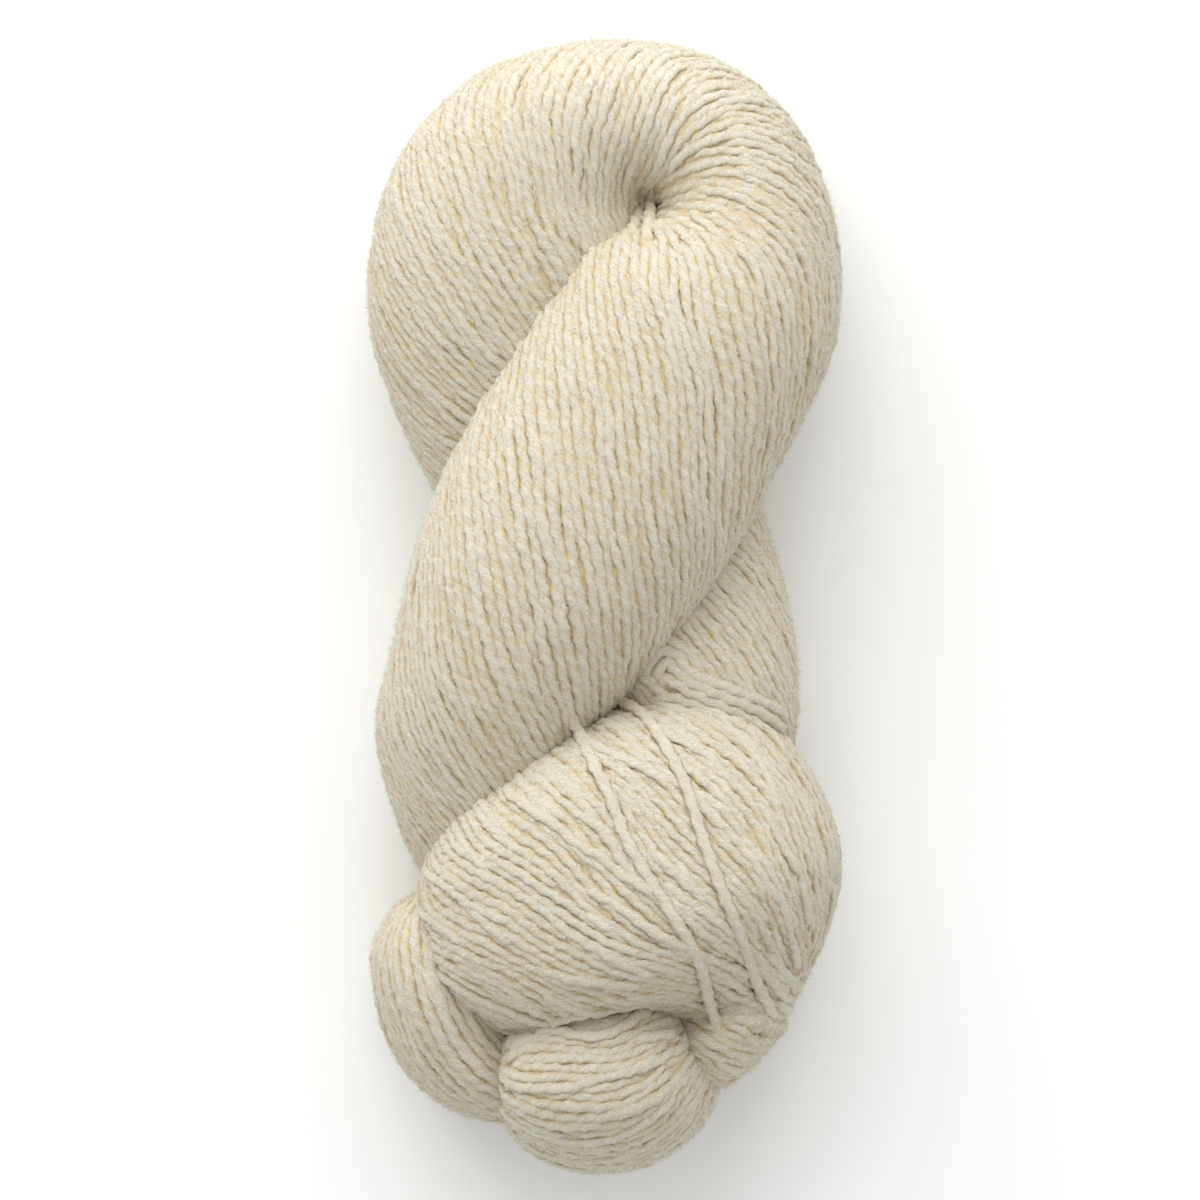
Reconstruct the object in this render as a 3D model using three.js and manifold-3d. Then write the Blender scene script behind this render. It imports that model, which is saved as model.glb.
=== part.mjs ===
// A twisted hank of undyed merino wool yarn, lying on its side on a flat surface.
// A skein of yarn is folded in two: its closed fold is at the top (+Y), the two halves are twisted
// about each other, and the end of one half is pulled through the other's loop at the bottom (-Y).
// Units are millimetres, +Z is up, +Y runs along the hank and z = 0 is the surface that it lies on.
// The origin is on that surface, at the middle of the hank's length and width.

import * as THREE from 'three';
import { ParametricGeometry } from 'three/addons/geometries/ParametricGeometry.js';
import { mergeVertices } from 'three/addons/utils/BufferGeometryUtils.js';
import Module from 'manifold-3d';

// Driving sizes of the whole hank. The tables below are drawn for these sizes and follow them.
const HANK_LENGTH = 250;
const HANK_WIDTH = 104;
const HANK_HEIGHT = 70;
const DRAWN = { length: 250, width: 104, height: 70 };

// How full a bundle's cross-section is: 2 is an ellipse, and more is squarer.
const FULLNESS = 2.15;

// Facets: rings of points to each row of a table, and points around a bundle.
const RINGS_PER_ROW = 3;
const AROUND_LARGE = 32;
const AROUND_SMALL = 26;

// A hidden end of a bundle narrows to this share of its section over this many rows.
const END_SHARE = 0.55;
const END_ROWS = 3;

// Wool as it is off the sheep, washed and undyed.
const WOOL_COLOUR = 0xe6e0cc;
const WOOL_ROUGHNESS = 0.95;

// Each row is one cross-section of a bundle, an upright plane between two points of its outline
// as seen from above: the point on the left hand and the one on the right hand of somebody who
// walks along the bundle. low and high are the heights of its underside and its crest. A bundle
// that rests on the surface has a low below 0, which the flat underside then cuts off.
const COLUMNS = ['leftX', 'leftY', 'rightX', 'rightY', 'low', 'high'];

// From the lower right, behind the crossing, up the left side to the crown of the closed fold.
const REAR_HALF = [
  [-3, -43, 45, -43, -2, 44],
  [-4, -29.5, 44.5, -30.5, -3, 47],
  [-6.5, -16, 43.5, -18.5, -4, 48],
  [-10, -3, 41, -1, -4, 46],
  [-18.5, 7, 35, 21.5, -4, 43],
  [-29, 15, 26, 46, -4, 41],
  [-37, 25.5, 20, 61, -4, 44],
  [-45.5, 42.5, 16, 72, -4, 49],
  [-51, 59, 14, 79, -4, 52],
  [-51.8, 76, 12.5, 83.5, -4, 53],
  [-48, 93.5, 11, 86, -4, 53],
  [-38, 109, 10, 88, -4, 53],
  [-22, 120.5, 9.5, 89, -4, 53],
  [0, 125, 9.5, 89.5, -4, 53],
];

// From the crown down the right side, over the crossing and down to the lower left.
const FRONT_HALF = [
  [21.5, 122, 10, 89.5, -4, 53],
  [38.5, 111, 10.5, 89, -4, 54],
  [48.5, 93.5, 11, 88.5, -4, 56],
  [52, 75, 10, 87.5, -3, 59],
  [50.5, 58, 5, 85, 0, 63],
  [44.5, 43, -5.5, 79.5, 5, 67],
  [38, 31, -13, 68, 9, 69],
  [30.5, 16, -23, 51.5, 12, 70],
  [19.5, -1.5, -33.5, 32.5, 11, 70],
  [7.5, -17.5, -40.5, 14.5, 6, 68],
  [-2, -30, -44.5, -1, 0, 64],
  [-8, -43, -48, -14, -3, 58],
  [-11, -54, -50.5, -26, -4, 51],
  [-12, -66, -48.5, -39.5, -4, 44],
  [-11, -76, -45, -50.5, -4, 37],
  [-9, -84, -41, -60.5, -3, 31],
  [-6, -89, -37.5, -68.5, 0, 26],
];

// The second crossing, a plump loose lobe whose yarn runs from the upper left to the lower right.
const LOWER_LOBE = [
  [-6.5, -24, -22, -34, 12, 40],
  [8, -20, -34.5, -46, 2, 54],
  [22.5, -19.5, -40.5, -60.5, -4, 63],
  [35.5, -25.5, -40.5, -72.5, -5, 67],
  [45, -36.5, -36.5, -84, -5, 69],
  [51, -50.5, -28, -91, -5, 69],
  [51.5, -61.5, -18, -94.5, -5, 65],
  [49, -71.5, -6, -92.5, -5, 57],
  [45.5, -80.5, 7.5, -91.5, -3, 48],
  [41.5, -88, 19.5, -94.5, 2, 44],
  [38, -93.5, 27, -99, 10, 36],
];

// The loop's left side, from the neck round to where it goes behind the end knot.
const LOOP_LEFT = [
  [-37, -63, -40.5, -63, 16, 28],
  [-32.5, -66, -46, -66.5, 4, 38],
  [-28, -72.5, -50.5, -74, -3, 43],
  [-25, -80, -51, -82, -4, 45],
  [-21.5, -87, -49, -91.5, -4, 45],
  [-17.5, -93, -45, -101, -4, 43],
  [-13, -97.5, -37.5, -109, -4, 41],
  [-7, -100.5, -27, -113.5, -4, 38],
  [0, -102, -14, -114.5, -3, 35],
  [8, -103, -1, -113.5, 0, 30],
];

// The end of the skein, pulled through the loop as a bun.
const END_KNOT = [
  [-23, -101.5, -23, -105.5, 18, 32],
  [-21.5, -93.5, -22, -113, 7, 46],
  [-16, -87, -17.5, -119.5, 0, 53],
  [-7.5, -82, -8.5, -124, -3, 57],
  [1.5, -80.5, 1, -125, -4, 58],
  [10, -83, 10.5, -123, -3, 56],
  [17, -88.5, 18.5, -118, 0, 50],
  [21, -95, 23.5, -111.5, 7, 40],
  [23.5, -101, 25, -107, 15, 28],
];

// The loop's right side, a short fold between the lobe and the knot.
const LOOP_RIGHT = [
  [41.5, -84, 21, -82, 4, 42],
  [39, -93.5, 17, -88, -2, 47],
  [34.5, -100, 14, -92, -4, 47],
  [28.5, -105.5, 10, -96, -4, 43],
  [20.5, -108.5, 5, -100, -3, 37],
  [12.5, -110.5, 1.5, -102.5, 0, 28],
];

const SKEIN = [...REAR_HALF, ...FRONT_HALF];
const CROWN_ROW = REAR_HALF.length - 1;

const wasm = await Module();
wasm.setup();

// Three smooth curves through a table's rows: the left outline, the right one and the heights.
function curvesThrough(table) {
  const alongX = HANK_WIDTH / DRAWN.width;
  const alongY = HANK_LENGTH / DRAWN.length;
  const alongZ = HANK_HEIGHT / DRAWN.height;
  const rows = table.map((row) => Object.fromEntries(COLUMNS.map((name, k) => [name, row[k]])));
  const curve = (point) => new THREE.CatmullRomCurve3(rows.map(point), false, 'catmullrom', 0.5);
  return {
    left: curve((row) => new THREE.Vector3(row.leftX * alongX, row.leftY * alongY, 0)),
    right: curve((row) => new THREE.Vector3(row.rightX * alongX, row.rightY * alongY, 0)),
    heights: curve((row) => new THREE.Vector3(row.low * alongZ, row.high * alongZ, 0)),
  };
}

// A number between -1 and 1 pushed outwards, so that a round section becomes a fuller one.
function fuller(value) {
  return Math.sign(value) * Math.abs(value) ** (2 / FULLNESS);
}

// The share of its full section that a bundle has at a row, which falls towards a hidden end.
function endShare(row, lastRow, narrowStart, narrowEnd) {
  const fromStart = narrowStart ? Math.min(row / END_ROWS, 1) : 1;
  const fromEnd = narrowEnd ? Math.min((lastRow - row) / END_ROWS, 1) : 1;
  const near = Math.min(fromStart, fromEnd);
  return END_SHARE + (1 - END_SHARE) * Math.sqrt(1 - (1 - near) ** 2);
}

// A closed solid of the bundle between two rows of its table.
function bundle(table, around, options = {}) {
  const { firstRow = 0, lastRow = table.length - 1, narrowStart = false, narrowEnd = false } = options;
  const curves = curvesThrough(table);
  const spanRows = lastRow - firstRow;
  const rings = spanRows * RINGS_PER_ROW;
  const stacks = rings + 2;
  const surface = (turn, along, target) => {
    const ring = Math.round(along * stacks) - 1;
    const capped = ring < 0 || ring > rings;
    const row = THREE.MathUtils.clamp(ring / RINGS_PER_ROW, 0, spanRows);
    const t = (firstRow + row) / (table.length - 1);
    const left = curves.left.getPoint(t);
    const right = curves.right.getPoint(t);
    const heights = curves.heights.getPoint(t);
    const share = capped ? 0 : endShare(row, spanRows, narrowStart, narrowEnd);
    const across = fuller(Math.cos(turn * 2 * Math.PI)) * share * 0.5;
    const up = fuller(Math.sin(turn * 2 * Math.PI)) * share * 0.5;
    target.copy(left).add(right).multiplyScalar(0.5);
    target.addScaledVector(right.clone().sub(left), across);
    target.z = (heights.x + heights.y) / 2 + (heights.y - heights.x) * up;
  };
  return solidFrom(new ParametricGeometry(surface, around, stacks));
}

// Joins a geometry's shared points, drops the empty triangles of its poles and seam, turns its
// faces outwards and makes it a solid that can be joined and cut.
function solidFrom(geometry) {
  geometry.deleteAttribute('normal');
  geometry.deleteAttribute('uv');
  const merged = mergeVertices(geometry, 1e-4);
  const points = merged.attributes.position.array;
  const corners = merged.index.array;
  const faces = [];
  let volume = 0;
  for (let k = 0; k < corners.length; k += 3) {
    const [a, b, c] = corners.slice(k, k + 3);
    if (a === b || b === c || c === a) {
      continue;
    }
    faces.push([a, b, c]);
    const [p, q, r] = [a, b, c].map((index) => new THREE.Vector3().fromArray(points, index * 3));
    volume += p.dot(q.cross(r));
  }
  const outward = volume > 0 ? faces : faces.map(([a, b, c]) => [a, c, b]);
  const mesh = new wasm.Mesh({
    numProp: 3,
    vertProperties: new Float32Array(points),
    triVerts: new Uint32Array(outward.flat()),
  });
  return new wasm.Manifold(mesh);
}

// The space under the surface, which cuts the hank's underside flat.
function underTheSurface() {
  const depth = HANK_HEIGHT;
  const slab = new THREE.BoxGeometry(2 * HANK_WIDTH, 2 * HANK_LENGTH, depth);
  slab.translate(0, 0, -depth / 2);
  return solidFrom(slab);
}

function meshFrom(solid, name, material) {
  const { vertProperties, triVerts } = solid.getMesh();
  const geometry = new THREE.BufferGeometry();
  geometry.setAttribute('position', new THREE.BufferAttribute(new Float32Array(vertProperties), 3));
  geometry.setIndex(new THREE.BufferAttribute(new Uint32Array(triVerts), 1));
  geometry.computeVertexNormals();
  const mesh = new THREE.Mesh(geometry, material);
  mesh.name = name;
  return mesh;
}

// The skein is made as two solids that lap at the crown, because its halves press into each other
// where they cross.
const rear = bundle(SKEIN, AROUND_LARGE, { lastRow: CROWN_ROW + END_ROWS, narrowStart: true, narrowEnd: true });
const front = bundle(SKEIN, AROUND_LARGE, { firstRow: CROWN_ROW - END_ROWS, narrowStart: true, narrowEnd: true });
const lobe = bundle(LOWER_LOBE, AROUND_LARGE);
const loopLeft = bundle(LOOP_LEFT, AROUND_SMALL);
const loopRight = bundle(LOOP_RIGHT, AROUND_SMALL);
const endKnot = bundle(END_KNOT, AROUND_SMALL);

const wound = rear.add(front).add(lobe).add(loopLeft).add(loopRight).add(endKnot);
const resting = wound.subtract(underTheSurface());

const wool = new THREE.MeshStandardMaterial({
  name: 'undyed wool',
  color: WOOL_COLOUR,
  roughness: WOOL_ROUGHNESS,
  metalness: 0,
});

const group = new THREE.Group();
group.name = 'merino_wool_hank';
group.add(meshFrom(resting, 'hank', wool));

export default group;
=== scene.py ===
"""A twisted hank of undyed merino wool yarn, dressed strand by strand over its wound solid.

The hank lies on a pale floor and is seen from straight above. Bundles of yarn make it up: the two
twisted halves of the skein, the plump lobe where they cross again, the loop and the end knot.
Every strand is two plies twisted together, swept along a line that follows its bundle's surface.
Lengths in the tables are millimetres, as in the part's own tables, and every mesh is in metres.
"""

import math

import bpy
import numpy as np
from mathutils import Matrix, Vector
from mathutils.bvhtree import BVHTree
from mathutils.kdtree import KDTree


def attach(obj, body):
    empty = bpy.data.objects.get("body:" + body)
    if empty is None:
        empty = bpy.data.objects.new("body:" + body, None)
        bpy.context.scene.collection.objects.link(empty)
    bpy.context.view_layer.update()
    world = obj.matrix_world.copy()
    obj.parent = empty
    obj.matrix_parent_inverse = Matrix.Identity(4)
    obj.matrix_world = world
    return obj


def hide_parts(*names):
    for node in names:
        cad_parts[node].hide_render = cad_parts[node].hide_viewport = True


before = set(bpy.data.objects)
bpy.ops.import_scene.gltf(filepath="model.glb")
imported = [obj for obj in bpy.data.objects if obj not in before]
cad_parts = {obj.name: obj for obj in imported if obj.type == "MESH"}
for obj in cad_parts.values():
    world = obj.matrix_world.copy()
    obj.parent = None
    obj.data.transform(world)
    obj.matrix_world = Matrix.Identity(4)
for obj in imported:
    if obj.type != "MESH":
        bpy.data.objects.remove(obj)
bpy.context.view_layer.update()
MM = 0.001

# The bundles

# How full a bundle's cross-section is: 2 is an ellipse, and more is squarer.
FULLNESS = 2.15
# A hidden end of a bundle narrows to this share of its section over this many rows.
END_SHARE = 0.55
END_ROWS = 3

# One row a cross-section, an upright plane between two points of the outline seen from above:
# leftX, leftY, rightX, rightY, low, high. Left and right are the hands of somebody who walks
# along the bundle, and low and high are the heights of its underside and its crest.
# The rows are the part's own, but for six right-hand points about the crown. They lie up to 0.9 mm
# further in, so that no hole shows in the small eye at the fold.
REAR_HALF = [
    (-3, -43, 45, -43, -2, 44),
    (-4, -29.5, 44.5, -30.5, -3, 47),
    (-6.5, -16, 43.5, -18.5, -4, 48),
    (-10, -3, 41, -1, -4, 46),
    (-18.5, 7, 35, 21.5, -4, 43),
    (-29, 15, 26, 46, -4, 41),
    (-37, 25.5, 20, 61, -4, 44),
    (-45.5, 42.5, 16, 72, -4, 49),
    (-51, 59, 14, 79, -4, 52),
    (-51.8, 76, 12.5, 83.5, -4, 53),
    (-48, 93.5, 11, 86, -4, 53),
    (-38, 109, 10.7, 87.7, -4, 53),
    (-22, 120.5, 10.1, 88.4, -4, 53),
    (0, 125, 9.7, 88.7, -4, 53),
]
FRONT_HALF = [
    (21.5, 122, 9.7, 88.7, -4, 53),
    (38.5, 111, 9.9, 88.5, -4, 54),
    (48.5, 93.5, 10.2, 88.4, -4, 56),
    (52, 75, 10, 87.5, -3, 59),
    (50.5, 58, 5, 85, 0, 63),
    (44.5, 43, -5.5, 79.5, 5, 67),
    (38, 31, -13, 68, 9, 69),
    (30.5, 16, -23, 51.5, 12, 70),
    (19.5, -1.5, -33.5, 32.5, 11, 70),
    (7.5, -17.5, -40.5, 14.5, 6, 68),
    (-2, -30, -44.5, -1, 0, 64),
    (-8, -43, -48, -14, -3, 58),
    (-11, -54, -50.5, -26, -4, 51),
    (-12, -66, -48.5, -39.5, -4, 44),
    (-11, -76, -45, -50.5, -4, 37),
    (-9, -84, -41, -60.5, -3, 31),
    (-6, -89, -37.5, -68.5, 0, 26),
]
LOWER_LOBE = [
    (-6.5, -24, -22, -34, 12, 40),
    (8, -20, -34.5, -46, 2, 54),
    (22.5, -19.5, -40.5, -60.5, -4, 63),
    (35.5, -25.5, -40.5, -72.5, -5, 67),
    (45, -36.5, -36.5, -84, -5, 69),
    (51, -50.5, -28, -91, -5, 69),
    (51.5, -61.5, -18, -94.5, -5, 65),
    (49, -71.5, -6, -92.5, -5, 57),
    (45.5, -80.5, 7.5, -91.5, -3, 48),
    (41.5, -88, 19.5, -94.5, 2, 44),
    (38, -93.5, 27, -99, 10, 36),
]
LOOP_LEFT = [
    (-37, -63, -40.5, -63, 16, 28),
    (-32.5, -66, -46, -66.5, 4, 38),
    (-28, -72.5, -50.5, -74, -3, 43),
    (-25, -80, -51, -82, -4, 45),
    (-21.5, -87, -49, -91.5, -4, 45),
    (-17.5, -93, -45, -101, -4, 43),
    (-13, -97.5, -37.5, -109, -4, 41),
    (-7, -100.5, -27, -113.5, -4, 38),
    (0, -102, -14, -114.5, -3, 35),
    (8, -103, -1, -113.5, 0, 30),
]
END_KNOT = [
    (-23, -101.5, -23, -105.5, 18, 32),
    (-21.5, -93.5, -22, -113, 7, 46),
    (-16, -87, -17.5, -119.5, 0, 53),
    (-7.5, -82, -8.5, -124, -3, 57),
    (1.5, -80.5, 1, -125, -4, 58),
    (10, -83, 10.5, -123, -3, 56),
    (17, -88.5, 18.5, -118, 0, 50),
    (21, -95, 23.5, -111.5, 7, 40),
    (23.5, -101, 25, -107, 15, 28),
]
LOOP_RIGHT = [
    (41.5, -84, 21, -82, 4, 42),
    (39, -93.5, 17, -88, -2, 47),
    (34.5, -100, 14, -92, -4, 47),
    (28.5, -105.5, 10, -96, -4, 43),
    (20.5, -108.5, 5, -100, -3, 37),
    (12.5, -110.5, 1.5, -102.5, 0, 28),
]
SKEIN = REAR_HALF + FRONT_HALF
CROWN_ROW = len(REAR_HALF) - 1

# The angle at which the strands lie to the way the bundle runs, in degrees towards its left hand:
# one row of angles a cross-section, at the right-hand edge, at the crest and at the left-hand edge.
SKEIN_LAY = [
    (33, 33, 33),
    (33, 33, 33),
    (33, 33, 33),
    (32, 32, 32),
    (30, 30, 30),
    (32, 32, 34),
    (28, 32, 40),
    (16, 19, 34),
    (14, 21, 34),
    (4, 27, 46),
    (-2, 38, 48),
    (28, 50, 54),
    (48, 54, 64),
    (74, 72, 64),
    (78, 74, 56),
    (62, 62, 54),
    (60, 50, 36),
    (68, 46, 28),
    (66, 56, 30),
    (48, 46, 37),
    (40, 39, 35),
    (38, 39, 34),
    (37, 39, 41),
    (37, 41, 48),
    (32, 40, 46),
    (45, 41, 41),
    (46, 43, 40),
    (42, 42, 38),
    (40, 38, 36),
    (38, 36, 34),
    (36, 34, 32),
]
# The lobe's and the knob's strands instead follow directions seen from above: x, y and degrees.
LOBE_LAY = {
    "seen from above": [
        (-30, -46, -62), (-28, -58, -31), (-34, -66, -38), (-28, -78, -24), (-36, -84, -48),
        (-23, -38, -44), (-14, -40, -41), (-14, -50, -37), (-14, -65, -28), (-14, -78, -22),
        (-8, -31, -32), (-6, -22, -14), (-5, -37, -45), (-1, -46, -46), (-1, -60, -42),
        (-1, -72, -22), (-4, -83, -6), (3.5, -29.5, -24), (8, -33, -34), (10, -38, -44),
        (8, -52, -54), (8, -65, -46), (8, -79, -15), (9, -86, -8), (16, -87, -12),
        (12, -21, -23), (21, -20, -20), (21, -31, -38), (21, -40, -44), (21, -50, -50),
        (21, -60, -52), (21, -72, -50), (21, -80, -20), (21, -84, -14), (23.5, -91, -6),
        (30, -21, -40), (30, -29, -48), (30, -38, -60), (30, -47, -68), (37, -30, -58),
        (37, -47, -72), (32, -56, -60), (32, -70, -55), (30.5, -87, -28), (36, -84, -45),
        (33, -93, -28), (38, -90, -36), (41, -38, -52), (40, -60, -68), (41, -74, -70),
        (50, -46, -68), (51, -60, -88), (48, -74, -104),
    ]
}
LOOP_LEFT_LAY = [(0, 0, 0)] * len(LOOP_LEFT)
END_KNOT_LAY = {
    "seen from above": [
        (-21, -98, 25), (-21, -106, -25), (-18, -112, -40), (-8, -88.5, 14), (-17, -96, 10), (-12, -93, 2),
        (-12, -103, -2), (-11, -112, -12), (-12, -119, -24), (0, -87, 0), (4, -88.5, -16), (-3, -94, 0),
        (0, -99, 5), (0, -110, 11), (-1, -120, -3), (6, -92, 26), (10, -89, 10), (14, -94, 4), (8, -102, 18),
        (8, -111, 29), (8, -120, 20), (15, -95, 15), (15, -101, 38), (17, -110, 56), (17, -118, 34),
        (20, -100, 62), (21, -106, 70), (24, -106, 66), (23, -114, 50),
    ]
}
LOOP_RIGHT_LAY = {
    "seen from above": [
        (24, -95, -12), (31, -97, -14), (36, -95, -22), (28, -99, -17), (34, -100, -22), (27, -102, -21),
        (25, -105, -26), (21.5, -101, -62), (21, -97, -50), (20, -106, -60), (38, -90, -34), (30, -88, -28),
    ]
}

# A direction seen from above counts less the further off its place is: it counts in full up to about
# this far, and beyond that it fades with this power of the squared distance.
DIRECTION_REACH = 4.0
DIRECTION_FADES = 1.5
# On an upright side a strand that kept its direction seen from above would run straight down. There it
# turns towards that direction, by this share at most, where the way out rises less than this.
SIDE_TURN = 0.8
SIDE_RISE = 0.25

# The yarn: its width, how far it is flattened, and how far apart the strands lie. Then how far the plies
# run in one full turn, how deep the groove between them is, and how uneven their surface is.
STRAND_WIDTH = 3.5
STRAND_FLATNESS = 0.3
STRAND_PITCH = 2.3
PLY_TURN = 8.8
PLY_BULGE = 0.3
UNEVENNESS = 0.75
UNEVENNESS_SCALE = 800.0
# Some strands are twisted more tightly than others: the least share, and how much more the most is.
LEAST_TWIST, TWIST_RANGE = 0.88, 0.24
# A millimetre of lift is shaded like this much of the height of a strand.
SHADE_FOR_LIFT = 0.3
# Light spreads inside the wool, so each strand is shaded this far like the surface it lies on.
SOFTNESS = 0.48
# The length of a step along a strand, and the corners of its section.
STEP = 0.85
SECTION_CORNERS = 6
# A strand's middle lies this far under the wound surface, and never lower than this over the floor.
STRAND_DEPTH = 0.65
LOWEST_MIDDLE = 1.35
# The surface turns this softly where it meets that lowest height.
FLOOR_TURN = 1.2
# The strands that the hank lies on keep their undersides this far over the floor.
LEAST_OVER_FLOOR = 0.15
# Where a strand ends it dives this far under its neighbours, over this length, or over this share of
# a short strand.
DIVE_DEPTH = 1.1
DIVE_LENGTH = 3.2
DIVE_SHARE = 0.3
# Yarn that lies deeper than this inside another bundle isn't made, and neither is a stretch this short.
HIDDEN_DEPTH = 2.4
SHORTEST_RUN = 4
# The wool under the top layer of strands: how deep it lies, and how high over the floor.
UNDERLAYER_DEPTH = 0.48
UNDERLAYER_LOWEST = 0.9

# The fuzz: fibres to a square metre of yarn, their lengths and width, and how far they lean. It stands
# only on yarn that is this far out from its strand's middle and this high over the floor.
FUZZ_DENSITY = 600000.0
FUZZ_SHORTEST, FUZZ_LONGEST = 0.6, 1.8
FUZZ_WIDTH = 0.15
FUZZ_LEAN = 1.6
FUZZ_FROM = 0.12
FUZZ_OVER_FLOOR = 3.0

# Places of a bundle's grid from one row to the next, and around the section.
GRID_PER_ROW = 12
GRID_AROUND = 128
# Strands more rows apart than this lie on different halves of the skein and don't make room for one another.
ROWS_APART = 6.0
# A strand ends where it comes closer than this share of the pitch to another one.
CLOSEST = 0.58
CLOSEST_STRAYS = 0.5
# A bundle is covered in rounds. A new strand starts at least this share of the pitch away from all
# others, and it is left out if it is shorter than this.
LAYING_ROUNDS = [(0.93, 9.0), (0.76, 5.0), (0.68, 4.0)]
# New strands are tried beside one already laid at places this far apart along it.
BETWEEN_TRIES = 2.2
# No strand goes on for more steps than this from where it starts.
MOST_STEPS = 1400

# Strands are moved sideways in rounds until each lies between its neighbours. A neighbour is no further off
# than this many pitches to the side, this many steps along, and this many millimetres up or down.
EVENING_ROUNDS = 3
NEIGHBOUR_ASIDE = 2.3
NEIGHBOUR_AHEAD = 0.8
NEIGHBOUR_ABOVE = 1.6
# Every third step is compared with its neighbours. Moves and room are then smoothed, each step with so
# many on each side of it.
EVENING_EVERY = 3
MOVE_SMOOTHING = 5
ROOM_SMOOTHING = 6
# A round makes this share of a move, and no more than this many millimetres.
MOVE_SHARE = 0.6
MOST_MOVE = 0.6

# How a strand strays from its even place: as a whole, and in waves up and down and from side to side,
# each with the least and the most of its height and its length.
WHOLE_LIFT = 0.22
WAVES_OF_A_STRAND = 3
LIFT_WAVE, LIFT_LENGTH = (0.04, 0.14), (12, 50)
SWAY_WAVE, SWAY_LENGTH = (0.08, 0.22), (10, 45)
# A strand is as thick as it has room, within these shares. It also differs from the next and along itself.
THICKNESS_RANGE = (0.84, 1.45)
THICKNESS_DIFFERS = (-0.07, 0.09)
THICKNESS_WAVE, THICKNESS_LENGTH = 0.06, (12, 40)


def through_rows(rows, at):
    """A smooth curve through a table's rows, uniform Catmull-Rom, at a place counted in rows."""
    rows = np.asarray(rows, float)
    ends = (2 * rows[:1] - rows[1:2], 2 * rows[-1:] - rows[-2:-1])
    padded = np.concatenate([ends[0], rows, ends[1]])
    at = np.clip(np.asarray(at, float), 0, len(rows) - 1)
    row = np.minimum(at.astype(int), len(rows) - 2)
    w = (at - row)[..., None]
    p0, p1, p2, p3 = (padded[row + k] for k in range(4))
    m1, m2 = (p2 - p0) / 2, (p3 - p1) / 2
    return (
        (2 * w**3 - 3 * w**2 + 1) * p1
        + (w**3 - 2 * w**2 + w) * m1
        + (3 * w**2 - 2 * w**3) * p2
        + (w**3 - w**2) * m2
    )


def unit(vectors, least=1e-9):
    """Vectors made to be of length one, but for those that are shorter than the least."""
    return vectors / np.maximum(np.linalg.norm(vectors, axis=-1, keepdims=True), least)


def in_rows_and_turns(move, along, around):
    """A move over a surface as rows along it and turns around it, from its slopes."""
    aa, ab, bb = (along * along).sum(-1), (along * around).sum(-1), (around * around).sum(-1)
    ma, mb = (move * along).sum(-1), (move * around).sum(-1)
    whole = np.maximum(aa * bb - ab * ab, 1e-6)
    return (ma * bb - mb * ab) / whole, (mb * aa - ma * ab) / whole


def fuller(value):
    """A number between -1 and 1 pushed outwards, so that a round section becomes a fuller one."""
    return np.sign(value) * np.abs(value) ** (2 / FULLNESS)


def end_share(row, first, last, narrow_start, narrow_end):
    """The share of its full section that a bundle has at a row, which falls towards a hidden end."""
    from_start = np.clip((row - first) / END_ROWS, 0, 1) if narrow_start else 1.0
    from_end = np.clip((last - row) / END_ROWS, 0, 1) if narrow_end else 1.0
    near = np.minimum(from_start, from_end)
    return END_SHARE + (1 - END_SHARE) * np.sqrt(1 - (1 - near) ** 2)


def over_floor(height, lowest):
    """Heights kept above the lowest one, with a soft turn where they meet it."""
    above = (height - lowest) / FLOOR_TURN
    well_above = 20
    turned = np.log1p(np.exp(np.minimum(above, well_above)))
    return lowest + FLOOR_TURN * np.where(above > well_above, above, turned)


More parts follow.
